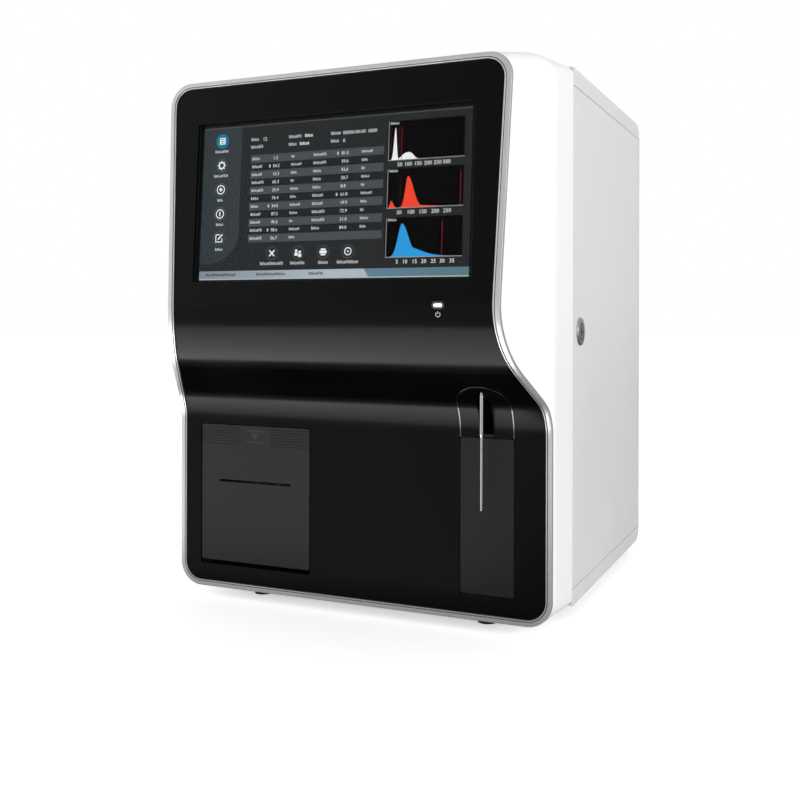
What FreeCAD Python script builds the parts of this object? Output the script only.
"""Bench-top blood analyzer with a leaning touch screen, a receipt printer and an open sampling probe.

Millimetres. +Z is up and -Y is the front that the user faces. The model is drawn from the seam
between the white front shell and the sheet-metal body, and is shifted on export so that the
origin lies at the bottom centre of the whole object.
"""

import FreeCAD
import Part
import math
import os

V = FreeCAD.Vector
X_AXIS, Y_AXIS, Z_AXIS = V(1, 0, 0), V(0, 1, 0), V(0, 0, 1)

# Overall sizes, from the photograph scaled by its 10.1 inch wide screen
foot_height = 10.0
body_height = 416.5
body_half_width = 157.5
rear_depth = 266.0
sheet = 1.5
reveal = 0.5
body_top = foot_height + body_height

# White front shell
shell_side_draw = 2.5
shell_half_width = body_half_width + shell_side_draw
shell_top_draw = 1.0
shell_top_slope = 0.075
shell_rim_slope = 0.165
shell_wall = 3.0
shell_flange = 10.0
shell_flange_thick = 3.0
bend_y = -67.2
bend_radius = 40.0
side_taper = math.radians(26.3)
seam_corner_radius = 7.0
rim_corner_radius = 19.0
shell_front_y = -132.0

# Front profile, seen from the side: a leaning screen face, an undercut and an upright lower face
nose_y = -117.3
nose_below_top = 212.2
nose_z = body_top - nose_below_top
screen_lean = math.radians(3.8)
undercut_angle = math.radians(45.0)
recess_y = -65.0
nose_radius = 70.0
chin_radius = 35.0

# Trim frame and black panel
trim_width = 4.5
trim_face = 1.6
trim_depth = 7.0
trim_skirt_gap = 0.2
trim_skirt_root = 0.6
trim_ledge = 4.5
trim_bead = 0.8
trim_groove = 0.7
trim_groove_depth = 0.7
panel_gap = 0.8
panel_setback = 1.0
panel_thick = 2.8

# Screen
window_side_margin = 45.0
window_top_margin = 43.0
window_height = 124.0
window_half_width = shell_half_width - window_side_margin
window_high = body_top - window_top_margin
window_low = window_high - window_height
window_corner = 1.5
gasket_thick = 0.8
gasket_lap = 4.0
glass_thick = 2.0
glass_lap = 5.0
lcd_thick = 6.5
lcd_lap = 3.0
driver_cover_margin = 34.5
driver_cover_low = 8.0
driver_cover_height = 44.0
driver_cover_thick = 2.0
bracket_lap = 13.0
bracket_border = 14.0
bracket_low_border = 4.0
bracket_corner = 4.0
bracket_window_corner = 6.0
standoff_radius = 3.5
standoff_inset = 4.0

# Power lamp
lamp_inset = 24.0
lamp_drop = 18.5
lamp_x = window_half_width - lamp_inset
lamp_z = window_low - lamp_drop
lamp_length = 6.2
lamp_height = 2.2
lamp_gap = 0.1
lamp_proud = 0.3
lamp_stem = 6.0
lamp_seat_lap = 1.6
lamp_seat_thick = 1.2

# Aspirate key and the arched probe bay above it
bay_side_margin = 50.0
bay_x = shell_half_width - bay_side_margin
bay_half_width = 21.1
key_low = foot_height + 18.5
key_below_nose = 69.8
key_high = nose_z - key_below_nose
arch_spring_rise = 23.5
arch_spring_z = key_high + arch_spring_rise
key_gap = 0.5
key_plate = 3.0
key_skirt = 7.0
key_skirt_wall = 2.0
key_travel = 2.5
guide_wall = 2.0
guide_gap = 0.5
guide_depth = 16.0
guide_lap = 4.0
switch_size = (20.0, 6.0, 10.0)
switch_button = 3.0
switch_rise = 22.0
switch_gap = 0.1
insert_flange = 2.0
insert_lap = 3.5
arch_trim_width = 0.9
arch_trim_proud = 0.3
probe_slot_half = 5.5
probe_hole_radius = 4.5

# Sampling probe and its lift
probe_x = bay_x
probe_y = -76.0
probe_below_bay = 51.5
probe_tip_z = key_high - probe_below_bay
needle_radius = 1.0
needle_bore = 0.45
sleeve_radius = 1.4
sleeve_above_bay = 3.5
sleeve_low_z = key_high + sleeve_above_bay
sleeve_top_stub = 14.0
probe_travel = 78.0
carriage_below_nose = 8.3
carriage_low_z = nose_z - carriage_below_nose
carriage_height = 20.0
carriage_half_width = 15.0
carriage_nose = 6.0
carriage_wall = 5.0
rod_y = -58.0
rod_radius = 3.0
rod_spread = 10.0
screw_radius = 2.6
screw_reach = 8.0
running_gap = 0.05
lift_plate = 3.0
lift_floor_gap = 16.0
lift_low_z = carriage_low_z - lift_floor_gap
lift_head_room = 18.0
lift_roof_step = 8.0
lift_arm_low = 40.0
lift_arm_high = 100.0
lift_half_width = 18.0
lift_back_y = -40.0
lift_front_y = -86.0
wipe_half = 8.0
wipe_height = 10.0
wipe_nipple_radius = 1.6
wipe_nipple_length = 6.0
motor_size = 28.0
motor_height = 30.0
motor_corner = 3.0

# Receipt printer
door_side_margin = 71.2
door_x = -(shell_half_width - door_side_margin)
door_half_width = 50.6
door_side_gap = 1.0
door_low_gap = 3.5
door_high_gap = 0.8
printer_open_half = door_half_width + door_side_gap
printer_open_low = key_low
printer_open_high = key_high + 0.1
door_low = printer_open_low + door_low_gap
door_high = printer_open_high - door_high_gap
printer_wall = 2.0
printer_depth = 56.0
printer_floor_drop = 2.5
door_thick = 3.0
door_rib_count = 7
door_rib_pitch = 2.2
door_rib_width = 0.8
door_rib_depth = 0.5
door_rib_top_gap = 1.6
door_rib_middle = 29.0
paper_slot_drop = 45.8
paper_slot_z = door_high - paper_slot_drop
paper_slot_half = 33.5
paper_slot_height = 2.0
hinge_back = 4.5
hinge_up = 5.0
hinge_pin_radius = 1.5
knuckle_radius = 3.4
knuckle_width = 12.0
knuckle_offset = 36.0
platen_radius = 5.0
platen_half = 30.0
platen_shaft_radius = 2.0
platen_drop = 9.0
platen_back = 11.5
platen_ear = 2.0
platen_ear_gap = 0.5
head_thick = 4.0
head_height = 12.0
head_gap = 0.4
head_arm = 2.5
latch_width = 12.0
latch_height = 6.0
latch_length = 8.0
striker_half = 1.5
striker_gap = 3.3
striker_reach = 6.0

# Sheet-metal body
top_strip = 14.2
bottom_strip = 12.5
bulkhead_door_gap = 3.5
bulkhead_left = -(body_half_width - sheet)
bulkhead_right = body_half_width - bulkhead_door_gap
bulkhead_border = 13.0
bulkhead_flange = 8.0
bulkhead_thick = 2.0
post_half_width = 18.0
flange_rise = 12.0
flange_end = 18.0
vent_count = 9
vent_length = 46.0
vent_width = 4.0
vent_pitch = 11.0
vent_x = 40.0
vent_spread = 32.0
vent_top_margin = 66.5
vent_low_z = body_top - vent_top_margin - (vent_count - 1) * vent_pitch

# Service door with its hinge and lock
door_front_gap = 0.8
door_rear_gap = 1.5
door_return = 9.0
door_lip_gap = 8.0
door_hinge_x = body_half_width - 4.0
door_hinge_y = rear_depth - 12.5
door_pin_radius = 1.5
door_pin_length = 9.0
hinge_block_size = (11.0, 12.0)
lock_y = 22.0
lock_below_top = 205.0
lock_z = body_top - lock_below_top
lock_flange_radius = 11.0
lock_flange_thick = 1.4
lock_body_radius = 8.5
lock_body_length = 17.0
lock_barrel_radius = 6.0
lock_nut_radius = 11.0
lock_nut_thick = 4.0
lock_key_slot = (2.2, 7.0, 3.0)
cam_length = 26.0
cam_width = 12.0
cam_thick = 2.0

# Feet
foot_radius = 8.5
foot_taper = 1.2
foot_side_margin = 58.0
foot_rear_margin = 40.0
foot_x = body_half_width - foot_side_margin
foot_front_y = -32.0
foot_rear_y = rear_depth - foot_rear_margin

# Fluid works behind the service door
works_room = 107.5
plate_thick = 2.0
plate_face_x = body_half_width - works_room
plate_x = plate_face_x - plate_thick
plate_front_y = 6.0
plate_rear_margin = 18.0
plate_rear_y = rear_depth - plate_rear_margin
plate_foot = 18.0
plate_top_gap = 2.0
cable_window_rear = 106.0
cable_window_length = 40.0
cable_window_low_z = foot_height + 330.0
cable_window_top_gap = 22.0
bath_radius = 17.0
bath_height = 44.0
bath_x = plate_face_x + 46.0
bath_z = foot_height + 232.0
bath_y = (46.0, 100.0)
bath_cone_radius = 4.0
bath_cone_height = 14.0
bath_drain_radius = 2.5
bath_drain_low = 24.0
bath_lid_lap = 2.0
bath_lid_thick = 4.0
bath_arm = 10.0
bath_arm_low = 8.0
bath_arm_high = 22.0
bath_electrode_radius = 4.0
bath_electrode_rise = 26.0
bath_electrode_reach = 8.0
bath_inlet = 8.0
bath_inlet_radius = 2.2
bath_inlet_height = 12.0
syringe_y = (40.0, 72.0)
syringe_x = plate_face_x + 32.0
syringe_side = 18.0
syringe_back = 6.0
syringe_clamp_front = 14.0
syringe_back_drop = 60.0
syringe_radius = (9.0, 6.5)
syringe_wall = 1.6
syringe_low_z = foot_height + 118.0
syringe_length = 66.0
syringe_block_height = 12.0
plunger_radius = 2.5
plunger_stroke = 30.0
plunger_bar = 10.0
syringe_motor_size = 34.0
syringe_motor_drop = 84.0
drive_screw_radius = 3.0
valve_count = 6
valve_pitch = 27.0
valve_radius = 9.0
valve_length = 30.0
valve_core_step = 3.0
valve_core_proud = 6.0
valve_z = foot_height + 350.0
valve_y = 40.0
manifold_depth = 18.0
manifold_half_height = 10.0
manifold_end = 14.0
valve_nipple_radius = 2.2
valve_nipple_x = plate_face_x + 9.0
valve_nipple_reach = 18.0
pump_rear_margin = 80.0
pump_y = rear_depth - pump_rear_margin
pump_z = foot_height + 84.0
pump_radius = 30.0
pump_depth = 24.0
pump_rotor_radius = 20.0
pump_roller_radius = 4.5
pump_race_gap = 2.0
pump_shaft_radius = 3.0
pump_port_offset = 14.0
pump_port_drop = 8.0
pump_port_half = 4.0
pump_wall = 3.0
rotor_gap = 6.0
rotor_disc = 3.0
rotor_length = 16.0
rotor_hub_radius = 7.0
rotor_roller_count = 4
chamber_radius = 25.0
chamber_height = 92.0
chamber_rear_margin = 82.0
chamber_y = rear_depth - chamber_rear_margin
chamber_z = foot_height + 160.0
chamber_gap = 10.0
chamber_x = plate_face_x + chamber_gap + chamber_radius
chamber_cap_lap = 2.0
chamber_cap_thick = 6.0
chamber_cradle_half = 12.0
chamber_cradle_low = 20.0
chamber_cradle_high = 60.0
chamber_stub_radius = 3.0
chamber_stub_height = 15.0
tube_radius = 1.8

# Electronics on the other side of the plate
board_gap = 8.0
board_thick = 1.6
board_y = (30.0, rear_depth - 46.0)
board_z = (foot_height + 120.0, foot_height + 330.0)
board_standoff_radius = 3.0
board_standoff_inset = 8.0
supply_side_margin = 37.5
supply_width = 90.0
supply_rear_margin = 26.0
supply_length = 144.0
supply_height = 48.0
supply_slot_count = 6
supply_slot_pitch = 12.0
supply_slot_width = 4.0
supply_slot_side = 10.0
supply_slot_end = 20.0
supply_slot_depth = 1.0

# Rear panel fittings
fan_side_margin = 69.5
fan_top_margin = 86.5
fan_x = -(body_half_width - fan_side_margin)
fan_z = body_top - fan_top_margin
fan_half = 30.0
fan_depth = 15.0
fan_bore = 28.0
fan_tip_gap = 1.5
fan_hub_radius = 12.0
fan_blades = 7
guard_rings = (9.0, 16.5, 24.0)
guard_wire = 1.1
port_count = 4
port_pitch = 22.0
port_side_margin = 19.5
port_x = tuple(body_half_width - port_side_margin - port_pitch * step for step in range(port_count))[::-1]
port_z = foot_height + 96.0
port_flange_radius = 7.0
port_flange_thick = 3.0
port_radius = 3.0
port_thread_radius = 4.6
port_hole_gap = 0.4
port_length = 14.0
port_bore = 1.6
port_nut_length = 8.0
inlet_side_margin = 45.5
inlet_x = -(body_half_width - inlet_side_margin)
inlet_z = foot_height + 52.0
inlet_half = (25.0, 15.0)
inlet_lap = 3.0
inlet_bezel = 3.0
inlet_depth = 22.0
socket_half = (11.5, 8.0)
socket_depth = 18.0
socket_offset = -9.0
blade_recess = 7.0
blade_half = (1.0, 2.0)
blade_places = ((-7.0, -2.0), (7.0, -2.0), (0.0, 3.0))
rocker_offset = 14.0
rocker_half = (5.0, 10.0)
rocker_gap = 0.4
rocker_tilt = 14.0
rocker_pin_radius = 1.5
rocker_pocket = 9.0
rocker_sink = 2.0
usb_offset = 60.0
usb_x = inlet_x + usb_offset
usb_half = (15.0, 9.0)
usb_depth = 14.0
screw_head_radius = 3.0
screw_head_height = 1.6
screw_inset = 9.0

shell_top = body_top + shell_top_draw
side_low = foot_height + bottom_strip
side_high = body_top - top_strip
rear_most_y = rear_depth + port_flange_thick + port_length


def box(x0, x1, y0, y1, z0, z1):
    """A block between two corners."""
    return Part.makeBox(x1 - x0, y1 - y0, z1 - z0, V(x0, y0, z0))


def post(x, z, half_x, half_z, y0, y1):
    """A block round an axis that runs front to back."""
    return box(x - half_x, x + half_x, y0, y1, z - half_z, z + half_z)


def column(x, y, half, z0, z1):
    """A square upright block round a vertical axis."""
    return box(x - half, x + half, y - half, y + half, z0, z1)


def upright_edges(shape):
    """The edges of a block that run straight up."""
    return [edge for edge in shape.Edges if abs(edge.tangentAt(0).z) > 0.9]


def rod(radius, start, axis, length):
    """A round bar from a start point along an axis."""
    return Part.makeCylinder(radius, length, V(*start), axis)


def one(shape):
    """The shape with its split faces merged."""
    return shape.removeSplitter()


def fuse(*shapes):
    """Several touching pieces as one moulded piece."""
    return one(shapes[0].fuse(list(shapes[1:])))


def rounded_wire(points, radii, place):
    """A closed outline whose corners are true arcs; place turns (u, v) into a point."""
    edges = []
    ends = []
    count = len(points)
    for i, (u, v) in enumerate(points):
        before = FreeCAD.Vector(*points[i - 1], 0)
        here = FreeCAD.Vector(u, v, 0)
        after = FreeCAD.Vector(*points[(i + 1) % count], 0)
        if radii[i] <= 0:
            ends.append((here, here, None))
            continue
        inward = (before - here).normalize()
        outward = (after - here).normalize()
        half = inward.getAngle(outward) / 2
        reach = radii[i] / math.tan(half)
        middle = (inward + outward).normalize()
        crown = here + middle * (radii[i] / math.sin(half) - radii[i])
        ends.append((here + inward * reach, here + outward * reach, crown))
    for i, (first, last, crown) in enumerate(ends):
        if crown is not None:
            arc = [place(p.x, p.y) for p in (first, crown, last)]
            edges.append(Part.Arc(*arc).toShape())
        following = ends[(i + 1) % count][0]
        if (following - last).Length > 1e-6:
            edges.append(Part.makeLine(place(last.x, last.y), place(following.x, following.y)))
    return Part.Wire(edges)


def front_prism(points, radii, y0, y1):
    """An outline drawn as the user sees it, run through the front from y0 to y1."""
    wire = rounded_wire(points, radii, lambda u, v: V(u, y0, v))
    return Part.Face(wire).extrude(V(0, y1 - y0, 0))


def side_prism(points, radii, x0, x1):
    """An outline drawn as seen from the side, (y, z), run from x0 to x1."""
    wire = rounded_wire(points, radii, lambda u, v: V(x0, u, v))
    return Part.Face(wire).extrude(V(x1 - x0, 0, 0))


def rectangle(half_width, low, high, middle=0.0):
    """The corners of a rectangle seen from the front."""
    return [
        (middle - half_width, low),
        (middle + half_width, low),
        (middle + half_width, high),
        (middle - half_width, high),
    ]


def front_window(half_width, low, high, middle=0.0, corner=window_corner):
    """A rectangular opening cut through the whole front."""
    return front_prism(rectangle(half_width, low, high, middle), [corner] * 4, shell_front_y, 0)


def bend_stations(inset):
    """Where the shell's sections lie: the seam, the bend and beyond the nose."""
    radius = bend_radius - inset
    start = bend_y + bend_radius * math.tan(side_taper / 2)
    turns = [start - radius * math.sin(side_taper * step / 3) for step in range(4)]
    return [0.0] + turns + [shell_front_y]


def seam_share(y):
    """How far the shell has drawn in to the body at a depth y: 0 up to the bend, 1 at the seam."""
    start = bend_y + bend_radius * math.tan(side_taper / 2)
    return max(0.0, 1 - y / start)


def shell_half(y, inset):
    """Half the shell's width at a depth y."""
    start = bend_y + bend_radius * math.tan(side_taper / 2)
    radius = bend_radius - inset
    centre = shell_half_width - bend_radius
    end = start - radius * math.sin(side_taper)
    if y >= start:
        return shell_half_width - shell_side_draw * seam_share(y) - inset
    if y >= end:
        return centre + math.sqrt(radius**2 - (y - start) ** 2)
    return centre + radius * math.cos(side_taper) - (end - y) * math.tan(side_taper)


def shell_top_z(y):
    """Height of the shell's top at a depth y: a gentle fall that steepens past the bend."""
    start = bend_y + bend_radius * math.tan(side_taper / 2)
    turn = bend_radius * math.sin(side_taper)
    past = max(0.0, start - y)
    drop = past**2 / (2 * turn) if past < turn else past - turn / 2
    return shell_top + shell_top_slope * y - (shell_rim_slope - shell_top_slope) * drop


def shell_section(y, inset):
    """The shell's rounded outline at a depth y, drawn in by inset."""
    half = shell_half(y, inset)
    low = foot_height + inset
    high = shell_top_z(y) - shell_top_draw * seam_share(y) - inset
    start = bend_y + bend_radius * math.tan(side_taper / 2)
    share = min(1.0, y / start)
    radius = seam_corner_radius + (rim_corner_radius - seam_corner_radius) * share
    radius = max(radius - inset, 1.0)
    return rounded_wire(rectangle(half, low, high), [radius] * 4, lambda u, v: V(u, y, v))


def shell_envelope(inset):
    """The front shell's full form, drawn in by inset."""
    sections = [shell_section(y, inset) for y in bend_stations(inset)]
    if inset > 0:
        sections[0].translate(Y_AXIS)
    return Part.makeLoft(sections, True, True)


def profile_corners(offset):
    """The sharp corners of the front profile, moved back by offset."""
    lean = V(math.sin(screen_lean), math.cos(screen_lean), 0)
    nose = V(nose_y, nose_z, 0) + V(math.cos(screen_lean), -math.sin(screen_lean), 0) * offset
    cut = V(-math.sin(undercut_angle), math.cos(undercut_angle), 0)
    start = V(nose_y, nose_z, 0) + V(math.cos(undercut_angle), math.sin(undercut_angle), 0) * offset
    gap = start - nose
    along = (gap.x * cut.y - gap.y * cut.x) / (lean.x * cut.y - lean.y * cut.x)
    corner = nose + lean * along
    chin_y = recess_y + offset
    chin_z = corner.y - (chin_y - corner.x) / math.tan(undercut_angle)
    return lean, corner, V(chin_y, chin_z, 0)


def behind_front(offset):
    """All the space behind the front profile, moved back by offset."""
    lean, corner, chin = profile_corners(offset)
    top = corner + lean * 260
    points = [
        (top.x, top.y),
        (corner.x, corner.y),
        (chin.x, chin.y),
        (chin.x, -20),
        (20, -20),
        (20, top.y),
    ]
    radii = [0, nose_radius - offset, chin_radius + offset, 0, 0, 0]
    return side_prism(points, radii, -2 * shell_half_width, 2 * shell_half_width)


def front_layer(near, far):
    """A skin that follows the front profile, from near to far behind it."""
    return behind_front(near).cut(behind_front(far))


def nose_front_y():
    """The foremost point of the nose."""
    lean, corner, _ = profile_corners(0)
    turn = undercut_angle + screen_lean
    reach = nose_radius * math.tan(turn / 2)
    tangent = corner + lean * reach
    centre_y = tangent.x + nose_radius * math.cos(screen_lean)
    return centre_y - nose_radius


def undercut_z(y, offset=0.0):
    """Height of the undercut's flat stretch at a depth y."""
    _, corner, _ = profile_corners(offset)
    return corner.y - (y - corner.x) / math.tan(undercut_angle)


def bay_outline(inset, low):
    """The probe bay's outline: upright sides and a half-round top on the undercut."""
    half = bay_half_width - inset
    rise = half * math.cos(undercut_angle)
    left, right = V(bay_x - half, 0, low), V(bay_x + half, 0, low)
    left_spring, right_spring = V(bay_x - half, 0, arch_spring_z), V(bay_x + half, 0, arch_spring_z)
    ellipse = Part.Ellipse(V(bay_x + half, 0, arch_spring_z), V(bay_x, 0, arch_spring_z + rise),
                           V(bay_x, 0, arch_spring_z))
    crown = Part.Arc(ellipse, 0, math.pi).toShape()
    edges = [
        Part.makeLine(left, right),
        Part.makeLine(right, right_spring),
        crown,
        Part.makeLine(left_spring, left),
    ]
    return Part.Wire(Part.__sortEdges__(edges))


def bay_prism(inset, low):
    """The probe bay's outline run through the front."""
    face = Part.Face(bay_outline(inset, low))
    face.translate(V(0, shell_front_y, 0))
    return face.extrude(V(0, -shell_front_y, 0))


def front_shell():
    """The white moulding between the trim frame and the seam, open at both ends."""
    tube = shell_envelope(0).cut(shell_envelope(shell_wall)).common(behind_front(trim_face))
    ring = shell_envelope(shell_wall - 0.5).cut(shell_envelope(shell_wall + shell_flange))
    slab = box(-200, 200, -shell_flange_thick, 0, 0, shell_top + 20)
    return fuse(tube, ring.common(slab).common(shell_envelope(shell_wall - 0.5)))


def trim_frame():
    """The silver frame round the black panel: a grooved face, a skirt in the shell and a ledge."""
    face = shell_envelope(0).common(front_layer(0, trim_face))
    skirt = front_skin(shell_wall + trim_skirt_gap, trim_face - trim_skirt_root, trim_depth)
    ring = face.fuse(skirt).cut(front_skin(trim_width, -5, panel_back()))
    bead = trim_width - trim_bead
    groove = front_skin(bead - trim_groove, -5, trim_groove_depth).cut(shell_envelope(bead))
    return one(ring.cut(groove).cut(shell_envelope(trim_width + trim_ledge)))


def front_skin(inset, near, far):
    """A piece of the front's skin between two depths, drawn in from the shell by inset."""
    return shell_envelope(inset).common(front_layer(near, far))


def panel_back():
    """How far the black panel's back lies behind the front profile."""
    return panel_setback + panel_thick


def lamp_prism(gap, y0, y1):
    """The pill-shaped power lamp, grown by gap."""
    half, low, high = lamp_length / 2 + gap, lamp_z - lamp_height / 2 - gap, lamp_z + lamp_height / 2 + gap
    outline = rectangle(half, low, high, lamp_x)
    return front_prism(outline, [(high - low) / 2 - 0.01] * 4, y0, y1)


def front_panel():
    """The black front panel, with windows for screen, lamp, printer and probe bay."""
    panel = front_skin(trim_width + panel_gap, panel_setback, panel_back())
    for opening in (
        front_window(window_half_width, window_low, window_high),
        lamp_prism(lamp_gap, shell_front_y, 0),
        front_window(printer_open_half, printer_open_low, printer_open_high, door_x),
        bay_prism(0, key_low),
    ):
        panel = panel.cut(opening)
    return one(panel)


def screen_layer(lap, near, far, corner=window_corner):
    """A flat piece behind the screen window that laps its edges."""
    window = front_window(window_half_width + lap, window_low - lap, window_high + lap, 0, corner)
    return front_layer(near, far).common(window)


def screen_gasket():
    """The foam ring between panel and glass."""
    back = panel_back()
    ring = screen_layer(gasket_lap, back, back + gasket_thick)
    return ring.cut(front_window(window_half_width, window_low, window_high))


def touch_glass():
    """The touch screen's cover glass."""
    near = panel_back() + gasket_thick
    return screen_layer(glass_lap, near, near + glass_thick)


def lcd_module():
    """The display module behind the glass, with its stepped driver cover."""
    near = panel_back() + gasket_thick + glass_thick
    frame = screen_layer(lcd_lap, near, near + lcd_thick)
    low = window_low + driver_cover_low
    cover = front_window(window_half_width - driver_cover_margin, low, low + driver_cover_height)
    back = near + lcd_thick
    return fuse(frame, front_layer(back, back + driver_cover_thick).common(cover))


def display_bracket():
    """The sheet bracket that clamps the display to the panel on four standoffs."""
    near = panel_back() + gasket_thick + glass_thick + lcd_thick
    plate = screen_layer(bracket_lap, near, near + sheet, bracket_corner)
    middle = (window_low + window_high) / 2
    low, high = window_low + bracket_low_border, window_high - bracket_border
    plate = plate.cut(front_window(window_half_width - bracket_border, low, high, 0, bracket_window_corner))
    half, rise = window_half_width + bracket_lap - standoff_inset, (window_high - window_low) / 2
    rise += bracket_lap - standoff_inset
    reach = front_layer(panel_back(), near + sheet)
    posts = [
        rod(standoff_radius, (sx * half, shell_front_y, middle + sz * rise), Y_AXIS, -shell_front_y)
        for sx in (-1, 1)
        for sz in (-1, 1)
    ]
    return fuse(plate, *[post.common(reach) for post in posts])


def power_lens():
    """The light pipe of the power lamp, with the shoulder that seats behind the panel."""
    stem = front_layer(panel_setback - lamp_proud, panel_back() + lamp_stem)
    seat = front_layer(panel_back(), panel_back() + lamp_seat_thick)
    lens = lamp_prism(0, shell_front_y, 0).common(stem)
    return fuse(lens, lamp_prism(lamp_seat_lap, shell_front_y, 0).common(seat))


def probe_slot():
    """The slot and round hole that the probe passes through, run through the front."""
    low = key_high - 30
    slot = front_window(probe_slot_half, low, undercut_z(probe_y) + 1, probe_x, 0)
    hole = rod(probe_hole_radius, (probe_x, probe_y, low), Z_AXIS, 90)
    return slot.fuse(hole)


def probe_bay_insert():
    """The arched cover over the probe bay, clipped behind the panel by its flange."""
    edge = arch_trim_width
    face = bay_prism(edge, key_high).common(front_layer(panel_setback, panel_back() + 0.5))
    face = face.cut(box(0, 200, recess_y + panel_back(), 0, key_high - 1, key_high + guide_wall))
    flange = bay_prism(-insert_lap, key_high + guide_wall).common(
        front_layer(panel_back(), panel_back() + insert_flange))
    return fuse(face, flange).cut(probe_slot())


def arch_trim():
    """The thin bright strip round the probe bay's arch."""
    strip = bay_prism(0, key_high).cut(bay_prism(arch_trim_width, key_high - 5))
    return strip.common(front_layer(panel_setback - arch_trim_proud, panel_back()))


def aspirate_key():
    """The long key behind the probe: a plate with a skirt that runs in its guide."""
    front, low, high = recess_y + panel_setback, key_low + key_gap, key_high - key_gap
    half = bay_half_width - key_gap
    plate = front_prism(rectangle(half, low, high, bay_x), [1.5] * 4, front, front + key_plate)
    near, far, wall = front + key_plate, front + key_plate + key_skirt, key_skirt_wall
    outer = front_prism(rectangle(half, low, high, bay_x), [1.2] * 4, near, far)
    inner = front_prism(rectangle(half - wall, low + wall, high - wall, bay_x), [1.2] * 4, near, far)
    rib = post(bay_x, (low + high) / 2, half - wall / 2, wall / 2, near, far)
    return fuse(plate, outer.cut(inner), rib)


def key_guide():
    """The open box behind the panel that guides the key and carries its switch."""
    front = recess_y + panel_back()
    half = bay_half_width + guide_wall + guide_gap
    low, high = key_low - guide_wall - guide_gap, key_high + guide_wall
    outer = box(bay_x - half, bay_x + half, front, front + guide_depth, low, high)
    inner = box(bay_x - half + guide_wall, bay_x + half - guide_wall, front - 1,
                front + guide_depth - guide_wall, low + guide_wall, high - guide_wall)
    flange = box(bay_x - half - guide_lap, bay_x + half + guide_lap, front, front + guide_wall,
                 low - guide_lap, high - guide_wall)
    return fuse(outer, flange).cut(inner)


def key_switch():
    """The small switch that the key presses."""
    width, depth, height = switch_size
    back = recess_y + panel_back() + guide_depth - guide_wall
    middle = (key_low + key_high) / 2 + switch_rise
    body = post(bay_x, middle, width / 2, height / 2, back - depth, back)
    key_back = recess_y + panel_setback + key_plate
    start = key_back + key_travel + switch_gap
    button = rod(switch_button, (bay_x, start, middle), Y_AXIS, back - depth - start + 0.5)
    return fuse(body, button)


def printer_axis():
    """Where the printer door's hinge pin runs, as (y, z)."""
    return recess_y + panel_setback + hinge_back, door_low + hinge_up


def printer_bay():
    """The open tub behind the printer door."""
    front = recess_y + panel_back()
    half = printer_open_half
    low, high = printer_open_low - printer_floor_drop, printer_open_high
    outer = box(door_x - half - printer_wall, door_x + half + printer_wall, front,
                front + printer_depth + printer_wall, low - printer_wall, high + printer_wall)
    inner = box(door_x - half, door_x + half, front - 1, front + printer_depth, low, high)
    y, z = printer_axis()
    bore = rod(hinge_pin_radius, (door_x - half - 9, y, z), X_AXIS, 2 * half + 18)
    return outer.cut(inner).cut(bore)


def printer_hinge_pin():
    """The steel pin across the printer bay."""
    y, z = printer_axis()
    half = printer_open_half + printer_wall
    return rod(hinge_pin_radius, (door_x - half, y, z), X_AXIS, 2 * half)


def platen_axis():
    """Where the platen roller's shaft runs, as (y, z)."""
    return recess_y + panel_setback + platen_back, paper_slot_z - platen_drop


def printer_door():
    """The printer's hinged cover: ribbed thumb grip, paper slot, knuckles and platen ears."""
    front = recess_y + panel_setback
    back = front + door_thick
    plate = front_prism(rectangle(door_half_width, door_low, door_high, door_x), [1.2] * 4, front, back)
    y, z = printer_axis()
    parts = [plate]
    for side in (-1, 1):
        middle, half = door_x + side * knuckle_offset, knuckle_width / 2
        parts.append(rod(knuckle_radius, (middle - half, y, z), X_AXIS, knuckle_width))
        parts.append(post(middle, z, half, knuckle_radius, back - 0.5, y))
    ear_y, ear_z = platen_axis()
    for side in (-1, 1):
        inner = door_x + side * (platen_half + platen_ear_gap)
        low_x, high_x = sorted((inner, inner + side * platen_ear))
        parts.append(box(low_x, high_x, back - 0.5, ear_y, ear_z - 4, ear_z + 4))
        parts.append(rod(4, (low_x, ear_y, ear_z), X_AXIS, platen_ear))
    striker_z = printer_open_high - latch_height - striker_gap - striker_half
    parts.append(post(door_x, striker_z, latch_width / 2, striker_half, back - 0.5, back + striker_reach))
    door = fuse(*parts)
    slot_low = paper_slot_z - paper_slot_height / 2
    door = door.cut(box(door_x - paper_slot_half, door_x + paper_slot_half, front - 1, back + 1,
                        slot_low, slot_low + paper_slot_height))
    door = door.cut(rod(hinge_pin_radius + running_gap, (door_x - 60, y, z), X_AXIS, 120))
    door = door.cut(rod(platen_shaft_radius + running_gap, (door_x - 60, ear_y, ear_z), X_AXIS, 120))
    for step in range(door_rib_count):
        top = door_high - door_rib_top_gap - step * door_rib_pitch
        for side in (-1, 1):
            low_x, high_x = sorted((door_x + side * door_rib_middle / 2, door_x + side * (door_half_width + 1)))
            door = door.cut(box(low_x, high_x, front - 1, front + door_rib_depth, top - door_rib_width, top))
    return one(door)


def platen_roller():
    """The rubber roller that feeds the paper, with its shaft and drive wheel."""
    y, z = platen_axis()
    roller = rod(platen_radius, (door_x - platen_half, y, z), X_AXIS, 2 * platen_half)
    reach = platen_half + platen_ear_gap + platen_ear + 1
    shaft = rod(platen_shaft_radius, (door_x - reach, y, z), X_AXIS, 2 * reach + 4)
    wheel = rod(platen_radius, (door_x + reach, y, z), X_AXIS, 4)
    return fuse(roller, shaft, wheel)


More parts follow.
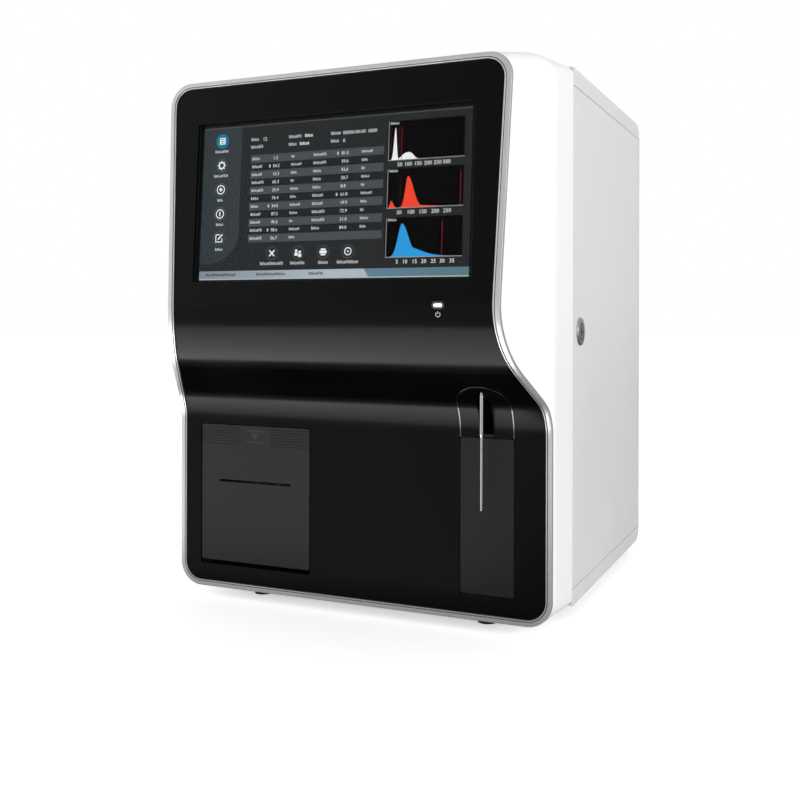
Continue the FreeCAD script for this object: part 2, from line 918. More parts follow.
def thermal_head():
    """The print head that the platen meets, on two side arms from the bay's back wall."""
    y, z = platen_axis()
    near = y + platen_radius + head_gap
    half = printer_open_half
    bar = post(door_x, z, half, head_height / 2, near, near + head_thick)
    back = recess_y + panel_back() + printer_depth
    arms = [
        post(door_x + side * (half - head_arm / 2), z, head_arm / 2, head_height / 2, near, back)
        for side in (-1, 1)
    ]
    return fuse(bar, *arms)


def printer_latch():
    """The push latch under the bay's roof."""
    front = recess_y + panel_setback + door_thick
    top = printer_open_high
    return box(door_x - latch_width / 2, door_x + latch_width / 2, front + 1, front + 1 + latch_length,
               top - latch_height, top)


def needle_and_sleeve():
    """The sampling needle, stepped down to a bevelled open tip."""
    top = carriage_low_z + carriage_height + sleeve_top_stub
    sleeve = rod(sleeve_radius, (probe_x, probe_y, sleeve_low_z), Z_AXIS, top - sleeve_low_z)
    shoulder = Part.makeCone(needle_radius, sleeve_radius, 2, V(probe_x, probe_y, sleeve_low_z - 2), Z_AXIS)
    needle = rod(needle_radius, (probe_x, probe_y, probe_tip_z), Z_AXIS, sleeve_low_z - probe_tip_z)
    bore = rod(needle_bore, (probe_x, probe_y, probe_tip_z - 1), Z_AXIS, top - probe_tip_z + 2)
    bevel = box(-5, 5, -5, 5, -8, 0)
    bevel.rotate(V(0, 0, 0), X_AXIS, 50)
    bevel.translate(V(probe_x, probe_y, probe_tip_z + 1.2))
    return fuse(sleeve, shoulder, needle).cut(bore).cut(bevel)


def probe_carriage():
    """The block that carries the needle along the guide rods."""
    low = carriage_low_z
    half = carriage_half_width
    back = rod_y + rod_radius + carriage_wall
    near, high = probe_y - carriage_nose, low + carriage_height
    outline = [(near, low), (back, low), (back, high), (near, high)]
    block = side_prism(outline, [2] * 4, probe_x - half, probe_x + half)
    block = block.cut(rod(sleeve_radius, (probe_x, probe_y, low - 1), Z_AXIS, carriage_height + 2))
    for offset in (-rod_spread, rod_spread):
        block = block.cut(rod(rod_radius + running_gap, (probe_x + offset, rod_y, low - 1), Z_AXIS,
                              carriage_height + 2))
    bore = rod(screw_radius + running_gap, (probe_x, rod_y, low - 1), Z_AXIS, carriage_height + 2)
    return block.cut(bore)


def lift_high_z():
    """The underside of the lift's top plate."""
    return carriage_low_z + carriage_height + probe_travel + lift_head_room


def lift_bracket():
    """The channel that holds the guide rods, with an arm back to the bulkhead post."""
    low, high, half = lift_low_z, lift_high_z(), lift_half_width
    x0, x1 = probe_x - half, probe_x + half
    back = box(x0, x1, lift_back_y - lift_plate, lift_back_y, low, high + lift_plate)
    floor = box(x0, x1, lift_front_y, lift_back_y, low, low + lift_plate)
    roof = box(x0, x1, lift_front_y + lift_roof_step, lift_back_y, high, high + lift_plate)
    arms = [
        box(x, x + lift_plate, lift_back_y - 0.5, 0, low + lift_arm_low, low + lift_arm_high)
        for x in (x0, x1 - lift_plate)
    ]
    bracket = fuse(back, floor, roof, *arms)
    span = high + lift_plate - low
    for offset in (-rod_spread, rod_spread):
        bracket = bracket.cut(rod(rod_radius, (probe_x + offset, rod_y, low - 1), Z_AXIS, span + 2))
    bracket = bracket.cut(rod(screw_radius + running_gap, (probe_x, rod_y, low - 1), Z_AXIS, span + 2))
    return bracket.cut(rod(sleeve_radius + 0.4, (probe_x, probe_y, low - 1), Z_AXIS, span / 2))


def guide_rods():
    """The two steel rods that the probe carriage runs on."""
    span = lift_high_z() + lift_plate - lift_low_z
    return Part.makeCompound([
        rod(rod_radius, (probe_x + offset, rod_y, lift_low_z), Z_AXIS, span)
        for offset in (-rod_spread, rod_spread)
    ])


def probe_wipe():
    """The rinse block round the needle, with its two hose nipples."""
    low = lift_low_z + lift_plate
    block = column(probe_x, probe_y, wipe_half, low, low + wipe_height)
    block = block.makeFillet(1.5, upright_edges(block))
    reach = wipe_half + wipe_nipple_length
    start = (probe_x - reach, probe_y, low + wipe_height / 2)
    nipples = rod(wipe_nipple_radius, start, X_AXIS, 2 * reach)
    return fuse(block, nipples).cut(
        rod(sleeve_radius + 0.2, (probe_x, probe_y, low - 1), Z_AXIS, wipe_height + 2))


def lead_screw():
    """The screw that raises the probe carriage."""
    top = lift_high_z() + lift_plate + screw_reach
    thread = rod(screw_radius, (probe_x, rod_y, lift_low_z), Z_AXIS, top - lift_low_z)
    collar_low = lift_high_z() - 8
    return fuse(thread, rod(screw_radius + 2, (probe_x, rod_y, collar_low), Z_AXIS, 6))


def lift_motor():
    """The stepper motor above the lift."""
    low = lift_high_z() + lift_plate
    body = column(probe_x, rod_y, motor_size / 2, low, low + motor_height)
    body = body.makeChamfer(motor_corner, upright_edges(body))
    return body.cut(rod(screw_radius + running_gap, (probe_x, rod_y, low - 1), Z_AXIS, screw_reach + 2))


def bulkhead():
    """The folded frame that joins the shell to the body, with a post for the probe lift."""
    x0, x1, low, high = bulkhead_left, bulkhead_right, foot_height + sheet, body_top - sheet
    border, thick = bulkhead_border, bulkhead_thick
    plate = box(x0 + sheet, x1, 0, thick, low, high)
    flange = box(x0, x1, 0, bulkhead_flange, side_low + 3, side_high - 3)
    flange = flange.cut(box(x0 + thick, x1 - thick, -1, bulkhead_flange + 1, 0, body_top))
    low_z, high_z = low + border + 8, high - border
    left = box(x0 + border, probe_x - post_half_width - 6, -1, 5, low_z, high_z)
    right = box(probe_x + post_half_width + 1, x1 - border + 1, -1, 5, low_z, high_z)
    return fuse(plate.cut(left).cut(right), flange)


def cover_profile(low, high, radius_low, radius_high, wall):
    """The side outline of a body cover, rounded at its rear corners."""
    return side_prism(
        [(wall_y(wall), low), (rear_depth - wall, low), (rear_depth - wall, high), (wall_y(wall), high)],
        [0, radius_low, radius_high, 0], -body_half_width + wall, body_half_width - wall)


def wall_y(wall):
    """A cover's front edge: its cut-out runs past it."""
    return reveal - (1 if wall else 0)


def cover_flanges(seam, side):
    """The flanges that a cover lays behind the rear panel and the left panel."""
    z0, z1 = sorted((seam - 4 * side, seam + flange_rise * side))
    half, back = body_half_width - flange_end, rear_depth - sheet
    rear = box(-half, half, back - sheet, back, z0, z1)
    outer = -body_half_width + sheet
    root = sorted((seam - 4 * side, seam))
    left = box(outer - 0.4, outer + sheet, flange_end, rear_depth - flange_end, *root)
    left = left.fuse(box(outer, outer + sheet, flange_end, rear_depth - flange_end, z0, z1))
    return [rear, left]


def cover_space(low, high, radius_low, radius_high):
    """The room inside a cover, for the blocks that are fixed to it."""
    return cover_profile(low, high, radius_low, radius_high, sheet)


def bottom_pan():
    """The folded base of the body, rounded up at the rear."""
    outer = cover_profile(foot_height, side_low, bottom_strip - 0.1, 0, 0)
    inner = cover_profile(foot_height + sheet, side_low + 5, bottom_strip - 0.1 - sheet, 0, sheet)
    return fuse(outer.cut(inner), *cover_flanges(side_low, 1))


def top_cover():
    """The folded roof of the body, rounded down at the rear."""
    outer = cover_profile(side_high, body_top, 0, top_strip - 0.1, 0)
    inner = cover_profile(side_high - 5, body_top - sheet, 0, top_strip - 0.1 - sheet, sheet)
    edges = [e for e in outer.Edges if abs(e.BoundBox.ZMin - body_top) < 0.01 and e.BoundBox.XLength < 0.01]
    return fuse(outer.makeFillet(1.2, edges).cut(inner), *cover_flanges(side_high, -1))


def rear_panel():
    """The flat rear panel with its openings and vent slots."""
    low, high = side_low + reveal, side_high - reveal
    panel = box(-body_half_width, body_half_width, rear_depth - sheet, rear_depth, low, high)
    cuts = [rod(fan_bore, (fan_x, rear_depth - 5, fan_z), Y_AXIS, 10)]
    hole = port_thread_radius + port_hole_gap
    cuts += [rod(hole, (x, rear_depth - 5, port_z), Y_AXIS, 10) for x in port_x]
    through = rear_depth - 5, rear_depth + 5
    lap = inlet_lap
    cuts.append(post(inlet_x, inlet_z, inlet_half[0] - lap, inlet_half[1] - lap, *through))
    cuts.append(post(usb_x, inlet_z, *usb_half, *through))
    for column in (-1, 1):
        for row in range(vent_count):
            z = vent_low_z + row * vent_pitch
            middle = vent_x + column * vent_spread
            cuts.append(post(middle, z, vent_length / 2, vent_width / 2, *through))
    for cut in cuts:
        panel = panel.cut(cut)
    return panel


def left_panel():
    """The fixed left side panel, which covers the flanges of pan and roof."""
    low, high = side_low + reveal, side_high - reveal
    outer, y0, y1 = -body_half_width, door_front_gap, rear_depth - door_rear_gap - sheet
    return box(outer, outer + sheet, y0, y1, low, high)


def service_door():
    """The locked right side panel, hinged near its rear edge."""
    low, high = side_low + reveal, side_high - reveal
    outer, y0, y1 = body_half_width, door_front_gap, rear_depth - door_rear_gap - sheet
    face = box(outer - sheet, outer, y0, y1, low, high)
    lip_y = bulkhead_flange + door_lip_gap
    lips = [box(outer - door_return, outer, lip_y, y1, z, z + sheet) for z in (low, high - sheet)]
    door = fuse(face, *lips)
    door = door.cut(rod(lock_body_radius, (outer - 5, lock_y, lock_z), X_AXIS, 10))
    pin_hole = rod(door_pin_radius + running_gap, (door_hinge_x, door_hinge_y, 0), Z_AXIS, 2 * body_top)
    return door.cut(pin_hole)


def hinge_blocks():
    """The two blocks with turned pins that carry the service door."""
    width, length = hinge_block_size
    blocks = []
    floor, roof = foot_height + sheet, body_top - sheet
    corner = bottom_strip - 0.1 - sheet, top_strip - 0.1 - sheet
    x1 = body_half_width - sheet
    for z0, z1, pin, radii in (
        (floor, side_low, side_low, (corner[0], 0)),
        (side_high, roof, side_high - door_pin_length, (0, corner[1])),
    ):
        block = box(x1 - width, x1, door_hinge_y - length / 2, door_hinge_y + length / 2, z0, z1)
        block = block.common(cover_space(z0, z1, *radii))
        stub = rod(door_pin_radius, (door_hinge_x, door_hinge_y, pin), Z_AXIS, door_pin_length)
        blocks.append(fuse(block, stub))
    return Part.makeCompound(blocks)


def lock_housing():
    """The lock's fixed body, flange and nut."""
    outer = body_half_width
    flange = rod(lock_flange_radius, (outer, lock_y, lock_z), X_AXIS, lock_flange_thick)
    flange = flange.makeChamfer(0.6, [e for e in flange.Edges if e.CenterOfMass.x > outer + 1 and e.Closed])
    body = rod(lock_body_radius, (outer - lock_body_length, lock_y, lock_z), X_AXIS, lock_body_length)
    nut = rod(lock_nut_radius, (outer - sheet - lock_nut_thick, lock_y, lock_z), X_AXIS, lock_nut_thick)
    bore = rod(lock_barrel_radius + running_gap, (outer - 40, lock_y, lock_z), X_AXIS, 60)
    return fuse(flange, body, nut).cut(bore)


def lock_barrel():
    """The key barrel with its slot."""
    outer = body_half_width
    length = lock_body_length + lock_flange_thick
    barrel = rod(lock_barrel_radius, (outer - lock_body_length, lock_y, lock_z), X_AXIS, length)
    width, height, depth = lock_key_slot
    face = outer + lock_flange_thick
    half_y, half_z = width / 2, height / 2
    slot = box(face - depth, face + 1, lock_y - half_y, lock_y + half_y, lock_z - half_z, lock_z + half_z)
    ward = box(face - depth, face + 1, lock_y, lock_y + height / 2 - 0.5, lock_z - 0.6, lock_z + 0.6)
    return barrel.cut(slot).cut(ward)


def lock_cam():
    """The tongue on the barrel's inner end, held by its screw."""
    near = body_half_width - lock_body_length
    outline = [
        (lock_y - cam_width / 2, lock_z - 8),
        (lock_y + cam_width / 2, lock_z - 8),
        (lock_y + cam_width / 2, lock_z + cam_length),
        (lock_y - cam_width / 2, lock_z + cam_length),
    ]
    tongue = side_prism(outline, [5, 5, 3, 3], near - cam_thick, near)
    head = rod(3.5, (near - cam_thick - 2, lock_y, lock_z), X_AXIS, 2.5)
    return fuse(tongue, head)


def feet():
    """Four tapered rubber feet."""
    return Part.makeCompound([
        Part.makeCone(foot_radius - foot_taper, foot_radius, foot_height, V(sx * foot_x, y, 0), Z_AXIS)
        for sx in (-1, 1)
        for y in (foot_front_y, foot_rear_y)
    ])


def works_plate():
    """The upright plate that carries the fluid works, on a folded foot."""
    floor = foot_height + sheet
    plate = box(plate_x, plate_face_x, plate_front_y, plate_rear_y, floor, side_high - plate_top_gap)
    foot = box(plate_x - plate_foot, plate_face_x, plate_front_y, plate_rear_y, floor, floor + plate_thick)
    rear = rear_depth - cable_window_rear
    window = box(plate_x - 1, plate_face_x + 1, rear - cable_window_length, rear, cable_window_low_z,
                 side_high - cable_window_top_gap)
    return fuse(plate, foot).cut(window)


def counting_bath(y):
    """One lidded counting bath on its arm: a cup with a coned floor and a drain nipple."""
    cup = rod(bath_radius, (bath_x, y, bath_z), Z_AXIS, bath_height)
    cone_low = bath_z - bath_cone_height
    cone = Part.makeCone(bath_cone_radius, bath_radius, bath_cone_height, V(bath_x, y, cone_low), Z_AXIS)
    drain = rod(bath_drain_radius, (bath_x, y, bath_z - bath_drain_low), Z_AXIS,
                bath_drain_low - bath_cone_height + 1)
    lid = rod(bath_radius + bath_lid_lap, (bath_x, y, bath_z + bath_height), Z_AXIS, bath_lid_thick)
    arm = box(plate_face_x, bath_x, y - bath_arm / 2, y + bath_arm / 2, bath_z + bath_arm_low,
              bath_z + bath_arm_high)
    electrode = rod(bath_electrode_radius, (bath_x, y, bath_z + bath_electrode_rise), X_AXIS,
                    bath_radius + bath_electrode_reach)
    inlet = rod(bath_inlet_radius, (bath_x - bath_inlet, y, bath_z + bath_height), Z_AXIS,
                bath_inlet_height)
    return fuse(cup, cone, drain, lid, arm, electrode, inlet)


def syringe_frame():
    """The block that clamps both barrels, on a back plate."""
    y0, y1 = syringe_y[0] - syringe_side, syringe_y[1] + syringe_side
    top = syringe_low_z + syringe_length
    back = box(plate_face_x, plate_face_x + syringe_back, y0, y1, syringe_low_z - syringe_back_drop,
               top + syringe_block_height / 2)
    clamps = []
    for z in (syringe_low_z - syringe_block_height, top):
        clamps.append(box(plate_face_x, syringe_x + syringe_clamp_front, y0, y1, z, z + syringe_block_height))
    frame = fuse(back, *clamps)
    for y in syringe_y:
        frame = frame.cut(rod(plunger_radius + 0.4, (syringe_x, y, syringe_low_z - 30), Z_AXIS, 31))
    bore_z = syringe_low_z - syringe_block_height - 1
    return frame.cut(rod(drive_screw_radius + running_gap, (syringe_x, syringe_middle(), bore_z), Z_AXIS,
                         screw_reach + 2))


def syringe_barrels():
    """The two glass barrels."""
    barrels = []
    for y, radius in zip(syringe_y, syringe_radius):
        outer = rod(radius, (syringe_x, y, syringe_low_z), Z_AXIS, syringe_length)
        inner = rod(radius - syringe_wall, (syringe_x, y, syringe_low_z - 1), Z_AXIS, syringe_length + 2)
        barrels.append(outer.cut(inner))
    return Part.makeCompound(barrels)


def syringe_plungers():
    """Both plungers on their common drive bar."""
    bar_z = syringe_low_z - syringe_block_height - plunger_stroke - plunger_bar - 2
    half = syringe_radius[0]
    y0, y1 = syringe_y[0] - half, syringe_y[1] + half
    pieces = [box(syringe_x - half, syringe_x + half, y0, y1, bar_z, bar_z + plunger_bar)]
    for y, radius in zip(syringe_y, syringe_radius):
        pieces.append(rod(plunger_radius, (syringe_x, y, bar_z + 1), Z_AXIS, syringe_low_z + 12 - bar_z))
        pieces.append(rod(radius - syringe_wall - 0.1, (syringe_x, y, syringe_low_z + 8), Z_AXIS, 6))
    start = (syringe_x, syringe_middle(), bar_z - 1)
    return fuse(*pieces).cut(rod(drive_screw_radius + running_gap, start, Z_AXIS, plunger_bar + 2))


def syringe_middle():
    """The depth of the syringe drive's axis, midway between the barrels."""
    return (syringe_y[0] + syringe_y[1]) / 2


def syringe_screw():
    """The drive screw that carries the plungers' bar."""
    low = syringe_low_z - syringe_motor_drop - screw_reach
    top = syringe_low_z - syringe_block_height + screw_reach
    return rod(drive_screw_radius, (syringe_x, syringe_middle(), low), Z_AXIS, top - low)


def syringe_motor():
    """The motor at the foot of the syringe drive."""
    top = syringe_low_z - syringe_motor_drop
    body = column(syringe_x, syringe_middle(), syringe_motor_size / 2, foot_height + sheet, top)
    body = body.makeChamfer(motor_corner, upright_edges(body))
    start = (syringe_x, syringe_middle(), top - screw_reach - 1)
    return body.cut(rod(drive_screw_radius + running_gap, start, Z_AXIS, screw_reach + 2))


def valve_bank():
    """A manifold with a row of solenoid valves."""
    end = valve_y + (valve_count - 1) * valve_pitch
    face = plate_face_x + manifold_depth
    rail = box(plate_face_x, face, valve_y - manifold_end, end + manifold_end,
               valve_z - manifold_half_height, valve_z + manifold_half_height)
    pieces = [rail]
    for step in range(valve_count):
        y = valve_y + step * valve_pitch
        start = (face - 1, y, valve_z)
        pieces.append(rod(valve_radius, start, X_AXIS, valve_length))
        pieces.append(rod(valve_radius - valve_core_step, start, X_AXIS, valve_length + valve_core_proud))
        pieces.append(rod(valve_nipple_radius, (valve_nipple_x, y, valve_z - valve_nipple_reach), Z_AXIS,
                          2 * valve_nipple_reach))
    return fuse(*pieces)


def pump_body():
    """The peristaltic pump's housing, open towards the door, with its shaft and tube ports."""
    near, race = plate_face_x, pump_rotor_radius + pump_roller_radius + pump_race_gap
    port_low, port_high = pump_z - pump_radius - pump_port_drop, pump_z - race
    pieces = [rod(pump_radius, (near, pump_y, pump_z), X_AXIS, pump_depth)]
    for side in (-1, 1):
        y = pump_y + side * pump_port_offset
        pieces.append(box(near, near + pump_depth - pump_port_half, y - pump_port_half, y + pump_port_half,
                          port_low, port_high))
    hollow = rod(race, (near + pump_wall + 2, pump_y, pump_z), X_AXIS, pump_depth)
    shaft = rod(pump_shaft_radius, (near, pump_y, pump_z), X_AXIS, pump_depth - 2)
    return fuse(fuse(*pieces).cut(hollow), shaft)


def pump_rotor():
    """The rotor and its rollers, on the pump's shaft."""
    near = plate_face_x + rotor_gap
    disc = rod(pump_rotor_radius, (near, pump_y, pump_z), X_AXIS, rotor_disc)
    cap = rod(pump_rotor_radius, (near + rotor_length - rotor_disc, pump_y, pump_z), X_AXIS, rotor_disc)
    hub = rod(rotor_hub_radius, (near, pump_y, pump_z), X_AXIS, rotor_length)
    pieces = [disc, cap, hub]
    for step in range(rotor_roller_count):
        angle = 2 * math.pi * (step + 0.5) / rotor_roller_count
        reach = pump_rotor_radius - pump_roller_radius + 3
        pieces.append(rod(pump_roller_radius, (near + rotor_disc - 0.5, pump_y + reach * math.cos(angle),
                                               pump_z + reach * math.sin(angle)),
                          X_AXIS, rotor_length - 2 * rotor_disc + 1))
    bore = rod(pump_shaft_radius + running_gap, (near - 5, pump_y, pump_z), X_AXIS, pump_depth)
    return fuse(*pieces).cut(bore)


def vacuum_chamber():
    """The capped vacuum and waste chamber on its cradle."""
    top = chamber_z + chamber_height
    pot = rod(chamber_radius, (chamber_x, chamber_y, chamber_z), Z_AXIS, chamber_height)
    caps = [
        rod(chamber_radius + chamber_cap_lap, (chamber_x, chamber_y, z), Z_AXIS, chamber_cap_thick)
        for z in (chamber_z - chamber_cap_thick, top)
    ]
    cradle = box(plate_face_x, chamber_x, chamber_y - chamber_cradle_half, chamber_y + chamber_cradle_half,
                 chamber_z + chamber_cradle_low, chamber_z + chamber_cradle_high)
    stub = rod(chamber_stub_radius, (chamber_x, chamber_y, top + 1), Z_AXIS, chamber_stub_height - 1)
    return fuse(pot, cradle, stub, *caps)


def tube(points, radius):
    """A soft tube along straight runs joined by tangent arcs."""
    edges = []
    last = V(*points[0])
    for i in range(1, len(points) - 1):
        a, b, c = V(*points[i - 1]), V(*points[i]), V(*points[i + 1])
        back, ahead = (a - b), (c - b)
        reach = 0.45 * min(back.Length, ahead.Length)
        back.normalize()
        ahead.normalize()
        first, final = b + back * reach, b + ahead * reach
        half = back.getAngle(ahead) / 2
        arc_radius = reach * math.tan(half)
        middle = b + (back + ahead).normalize() * (arc_radius / math.sin(half) - arc_radius)
        edges.append(Part.makeLine(last, first))
        edges.append(Part.Arc(first, middle, final).toShape())
        last = final
    edges.append(Part.makeLine(last, V(*points[-1])))
    path = Part.Wire(edges)
    direction = V(*points[1]) - V(*points[0])
    circle = Part.Wire(Part.makeCircle(radius, V(*points[0]), direction))
    return path.makePipeShell([circle], True, False)


def valve_run(valve, x, y, end_z, drop):
    """A tube from under a valve, across and down to a nipple."""
    side, top = valve_nipple_x, valve_z - valve_nipple_reach
    valve_at = valve_y + valve * valve_pitch
    turn = top - drop
    return [(side, valve_at, top), (side, valve_at, turn), (x, y, turn), (x, y, end_z)]


def fluid_tubes():
    """The tubes from the valves to the baths, and from the drains to the chamber and the pump."""
    bath_top = bath_z + bath_height + bath_inlet_height
    runs = [valve_run(valve, bath_x - bath_inlet, y, bath_top, 11) for valve, y in zip((0, 2), bath_y)]
    chamber_top = chamber_z + chamber_height + chamber_stub_height
    runs.append(valve_run(valve_count - 1, chamber_x, chamber_y, chamber_top, 19))
    pump_x, port_end = plate_face_x + 10, rear_depth - sheet - port_nut_length
    port_low = pump_z - pump_radius - pump_port_drop
    out_y, in_y = pump_y + pump_port_offset, pump_y - pump_port_offset
    runs.append([
        (pump_x, out_y, port_low),
        (pump_x, out_y, port_low - 14),
        (port_x[1], pump_y + 34, port_z - 20),
        (port_x[1], port_end - 22, port_z),
        (port_x[1], port_end, port_z),
    ])
    drain = bath_z - bath_drain_low
    runs.append([
        (bath_x, bath_y[1], drain),
        (bath_x, bath_y[1], drain - 10),
        (bath_x, chamber_y - chamber_radius - 9, drain - 50),
        (pump_x + 20, in_y, port_low - 22),
        (pump_x, in_y, port_low - 14),
        (pump_x, in_y, port_low),
    ])
    return Part.makeCompound([tube(run, tube_radius) for run in runs])


def main_board():
    """The main circuit board on four standoffs, with its larger parts."""
    far = plate_x - board_gap
    y0, y1 = board_y
    z0, z1 = board_z
    pieces = [box(far - board_thick, far, y0, y1, z0, z1)]
    inset = board_standoff_inset
    for y in (y0 + inset, y1 - inset):
        for z in (z0 + inset, z1 - inset):
            pieces.append(rod(board_standoff_radius, (far - board_thick, y, z), X_AXIS,
                              board_gap + board_thick))
    chips = ((40, 40, 34, 3), (100, 60, 26, 3), (60, 120, 20, 8), (130, 130, 30, 12), (40, 170, 14, 12))
    for dy, dz, size, height in chips:
        pieces.append(box(far - board_thick - height, far - board_thick, y0 + dy, y0 + dy + size, z0 + dz,
                          z0 + dz + size))
    return fuse(*pieces)


def power_supply():
    """The enclosed power supply on the pan."""
    floor = foot_height + sheet
    top = floor + supply_height
    x0, y1 = -(body_half_width - supply_side_margin), rear_depth - supply_rear_margin
    y0 = y1 - supply_length
    case = box(x0, x0 + supply_width, y0, y1, floor, top)
    for step in range(supply_slot_count):
        x = x0 + supply_slot_side + step * supply_slot_pitch
        case = case.cut(box(x, x + supply_slot_width, y0 + supply_slot_end, y1 - supply_slot_end,
                            top - supply_slot_depth, top + 1))
    return case


def fan_frame():
    """The square fan frame with its motor stator."""
    near, far = rear_depth - sheet - fan_depth, rear_depth - sheet
    frame = box(fan_x - fan_half, fan_x + fan_half, near, far, fan_z - fan_half, fan_z + fan_half)
    frame = frame.makeFillet(3, [e for e in frame.Edges if abs(e.tangentAt(0).y) > 0.9])
    frame = frame.cut(rod(fan_bore, (fan_x, near - 1, fan_z), Y_AXIS, fan_depth + 2))
    spokes = [
        box(fan_x - fan_bore - 1, fan_x + fan_bore + 1, near, near + 2, fan_z - 2, fan_z + 2),
        box(fan_x - 2, fan_x + 2, near, near + 2, fan_z - fan_bore - 1, fan_z + fan_bore + 1),
    ]
    post = rod(2, (fan_x, near, fan_z), Y_AXIS, fan_depth - 2)
    return fuse(frame, *spokes, rod(fan_hub_radius, (fan_x, near, fan_z), Y_AXIS, 2), post)


def fan_rotor():
    """The fan's hub and twisted blades."""
    near = rear_depth - sheet - fan_depth + 3
    depth = fan_depth - 4.5
    hub = rod(fan_hub_radius, (fan_x, near, fan_z), Y_AXIS, depth)
    pieces = [hub]
    for step in range(fan_blades):
        blade = box(fan_hub_radius - 2, fan_bore - fan_tip_gap, 0.5, depth - 0.5, -0.7, 0.7)
        blade.rotate(V(0, depth / 2, 0), X_AXIS, 35)
        limit = rod(fan_bore - fan_tip_gap, (0, 0, 0), Y_AXIS, depth)
        blade = blade.common(limit)
        blade.rotate(V(0, 0, 0), Y_AXIS, 360 / fan_blades * step)
        blade.translate(V(fan_x, near, fan_z))
        pieces.append(blade)
    return fuse(*pieces).cut(rod(2 + running_gap, (fan_x, near - 5, fan_z), Y_AXIS, fan_depth - 1.5 + 3.5))


def fan_guard():
    """The wire guard over the fan."""
    pieces = []
    for radius in guard_rings:
        ring_y = rear_depth + 2.2 * guard_wire
        pieces.append(Part.makeTorus(radius, guard_wire, V(fan_x, ring_y, fan_z), Y_AXIS))
    reach = 1.28 * (fan_half - 5)
    for angle in (45, 135):
        wire = box(-reach, reach, 0, 2 * guard_wire, -guard_wire, guard_wire)
        wire.rotate(V(0, 0, 0), Y_AXIS, angle)
        wire.translate(V(fan_x, rear_depth, fan_z))
        pieces.append(wire)
    for dx in (-1, 1):
        for dz in (-1, 1):
            place = (fan_x + dx * (fan_half - 5), rear_depth, fan_z + dz * (fan_half - 5))
            pieces.append(rod(4, place, Y_AXIS, 2.6))
    return fuse(*pieces)


def hose_ports():
    """The row of hose nipples for the reagents and the waste."""
    ports = []
    for x in port_x:
        flange = rod(port_flange_radius, (x, rear_depth, port_z), Y_AXIS, port_flange_thick)
        stem = rod(port_radius, (x, rear_depth, port_z), Y_AXIS, port_flange_thick + port_length)
        behind = rear_depth - sheet - port_nut_length
        inner = rod(port_thread_radius, (x, behind, port_z), Y_AXIS, sheet + port_nut_length)
        nut = rod(port_flange_radius, (x, rear_depth - sheet - 4, port_z), Y_AXIS, 4)
        bore = rod(port_bore, (x, rear_depth - 20, port_z), Y_AXIS, 60)
        ports.append(fuse(flange, stem, inner, nut).cut(bore))
    return Part.makeCompound(ports)


def power_inlet():
    """The mains inlet with its three blades, and the frame of the switch beside it."""
    half_x, half_z = inlet_half
    face, body_lap = rear_depth + inlet_bezel, inlet_lap + 0.3
    bezel = post(inlet_x, inlet_z, half_x, half_z, rear_depth, face)
    body = post(inlet_x, inlet_z, half_x - body_lap, half_z - body_lap, rear_depth - inlet_depth, face - 2)
    middle = inlet_x + socket_offset
    outline = rectangle(socket_half[0], inlet_z - socket_half[1], inlet_z + socket_half[1], middle)
    well = front_prism(outline, [1, 1, 4, 4], face - socket_depth, face + 1)
    rocker_x = inlet_x + rocker_offset
    pocket_half = rocker_half[0] + rocker_gap, rocker_half[1] + rocker_gap
    pocket = post(rocker_x, inlet_z, *pocket_half, rear_depth - rocker_pocket, face + 1)
    module = fuse(bezel, body).cut(well).cut(pocket)
    blades = [
        post(middle + dx, inlet_z + dz, *blade_half, face - 1 - socket_depth, face - blade_recess)
        for dx, dz in blade_places
    ]
    start = (rocker_x - rocker_half[0] - 1, rear_depth - rocker_sink, inlet_z)
    pivot = rod(rocker_pin_radius, start, X_AXIS, 2 * rocker_half[0] + 2)
    return fuse(module, *blades, pivot)


def power_rocker():
    """The mains switch's rocker, at rest with its upper end pressed in."""
    middle = inlet_x + rocker_offset
    front, half = rear_depth - rocker_sink, rocker_half[1]
    tilt = math.radians(rocker_tilt / 2)
    rise = half * math.tan(tilt)
    outline = [
        (front - 4, inlet_z - 5),
        (front - 4, inlet_z + 5),
        (front + 2 - rise, inlet_z + half - 0.6),
        (front + 4 - rise, inlet_z + half - 0.6),
        (front + 4, inlet_z),
        (front + 4 + rise, inlet_z - half + 0.6),
        (front + 2 + rise, inlet_z - half + 0.6),
    ]
    radii = [1, 1, 0.4, 0.4, 0, 0.4, 0.4]
    rocker = side_prism(outline, radii, middle - rocker_half[0], middle + rocker_half[0])
    return rocker.cut(rod(rocker_pin_radius + running_gap, (middle - 20, front, inlet_z), X_AXIS, 40))


def usb_ports():
    """Two stacked data sockets in one shielded block."""
    half_x, half_z = usb_half
    block = box(usb_x - half_x + 0.3, usb_x + half_x - 0.3, rear_depth - usb_depth, rear_depth + 0.8,
                inlet_z - half_z + 0.3, inlet_z + half_z - 0.3)
    back = rear_depth - sheet
    block = block.fuse(box(usb_x - half_x - 3, usb_x + half_x + 3, back - sheet, back,
                           inlet_z - half_z - 3, inlet_z + half_z + 3))
    for dx in (-7.4, 7.4):
        for dz in (-4.2, 4.2):
            x, z = usb_x + dx, inlet_z + dz
            block = block.cut(box(x - 6, x + 6, rear_depth - 9, rear_depth + 2, z - 2.4, z + 2.4))
            block = block.fuse(box(x - 5.5, x + 5.5, rear_depth - 9.5, rear_depth - 0.5, z + 0.2, z + 2))
    return one(block)


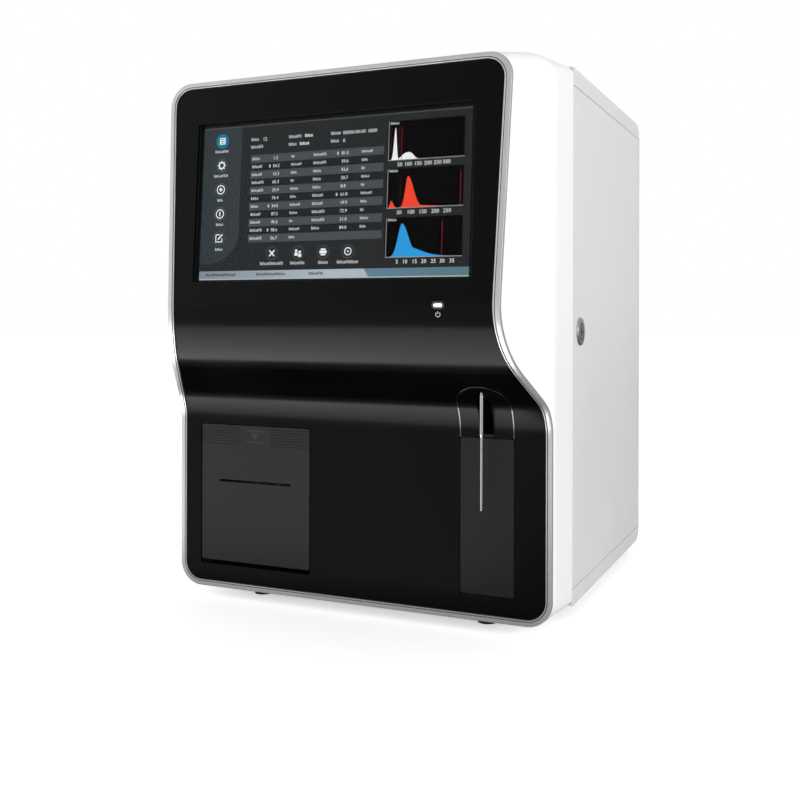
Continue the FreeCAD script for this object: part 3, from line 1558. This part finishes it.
def panel_screws():
    """The rear panel's pan-head screws."""
    low, high = side_low + reveal + screw_inset, side_high - reveal - screw_inset
    heads = []
    for x in (-body_half_width + 22, 0, body_half_width - 22):
        for z in (low, high):
            head = rod(screw_head_radius, (x, rear_depth, z), Y_AXIS, screw_head_height)
            rim = [e for e in head.Edges if e.Closed and e.CenterOfMass.y > rear_depth + 1]
            head = head.makeFillet(0.7, rim)
            slot = box(x - 2, x + 2, rear_depth + 0.8, rear_depth + 5, z - 0.35, z + 0.35)
            cross = box(x - 0.35, x + 0.35, rear_depth + 0.8, rear_depth + 5, z - 2, z + 2)
            heads.append(head.cut(slot).cut(cross))
    return Part.makeCompound(heads)


PIECES = {
    "front_shell": front_shell,
    "trim_frame": trim_frame,
    "front_panel": front_panel,
    "screen_gasket": screen_gasket,
    "touch_glass": touch_glass,
    "lcd_module": lcd_module,
    "display_bracket": display_bracket,
    "power_lens": power_lens,
    "probe_bay_insert": probe_bay_insert,
    "arch_trim": arch_trim,
    "aspirate_key": aspirate_key,
    "key_guide": key_guide,
    "key_switch": key_switch,
    "printer_bay": printer_bay,
    "printer_hinge_pin": printer_hinge_pin,
    "printer_door": printer_door,
    "platen_roller": platen_roller,
    "thermal_head": thermal_head,
    "printer_latch": printer_latch,
    "probe_needle": needle_and_sleeve,
    "probe_carriage": probe_carriage,
    "lift_bracket": lift_bracket,
    "guide_rods": guide_rods,
    "probe_wipe": probe_wipe,
    "lead_screw": lead_screw,
    "lift_motor": lift_motor,
    "bulkhead": bulkhead,
    "bottom_pan": bottom_pan,
    "top_cover": top_cover,
    "rear_panel": rear_panel,
    "left_panel": left_panel,
    "service_door": service_door,
    "hinge_blocks": hinge_blocks,
    "lock_housing": lock_housing,
    "lock_barrel": lock_barrel,
    "lock_cam": lock_cam,
    "feet": feet,
    "works_plate": works_plate,
    "white_cell_bath": lambda: counting_bath(bath_y[0]),
    "red_cell_bath": lambda: counting_bath(bath_y[1]),
    "syringe_frame": syringe_frame,
    "syringe_barrels": syringe_barrels,
    "syringe_plungers": syringe_plungers,
    "syringe_screw": syringe_screw,
    "syringe_motor": syringe_motor,
    "valve_bank": valve_bank,
    "pump_body": pump_body,
    "pump_rotor": pump_rotor,
    "vacuum_chamber": vacuum_chamber,
    "fluid_tubes": fluid_tubes,
    "main_board": main_board,
    "power_supply": power_supply,
    "fan_frame": fan_frame,
    "fan_rotor": fan_rotor,
    "fan_guard": fan_guard,
    "hose_ports": hose_ports,
    "power_inlet": power_inlet,
    "power_rocker": power_rocker,
    "usb_ports": usb_ports,
    "panel_screws": panel_screws,
}


def origin_shift():
    """Moves the drawing's seam datum to the bottom centre of the whole object."""
    return V(0, -(nose_front_y() + rear_most_y) / 2, 0)


def main():
    """Builds every piece and writes it to parts/."""
    os.makedirs("parts", exist_ok=True)
    shift = origin_shift()
    for name, make in PIECES.items():
        shape = make()
        shape = Part.makeCompound(shape.Solids) if len(shape.Solids) > 1 else shape.Solids[0]
        if not shape.isValid():
            print("not valid:", name)
        shape.translate(shift)
        shape.exportStep(os.path.join("parts", name + ".step"))
        print(name, len(shape.Solids), round(shape.Volume / 1000, 2))


if __name__ == "__main__":
    main()
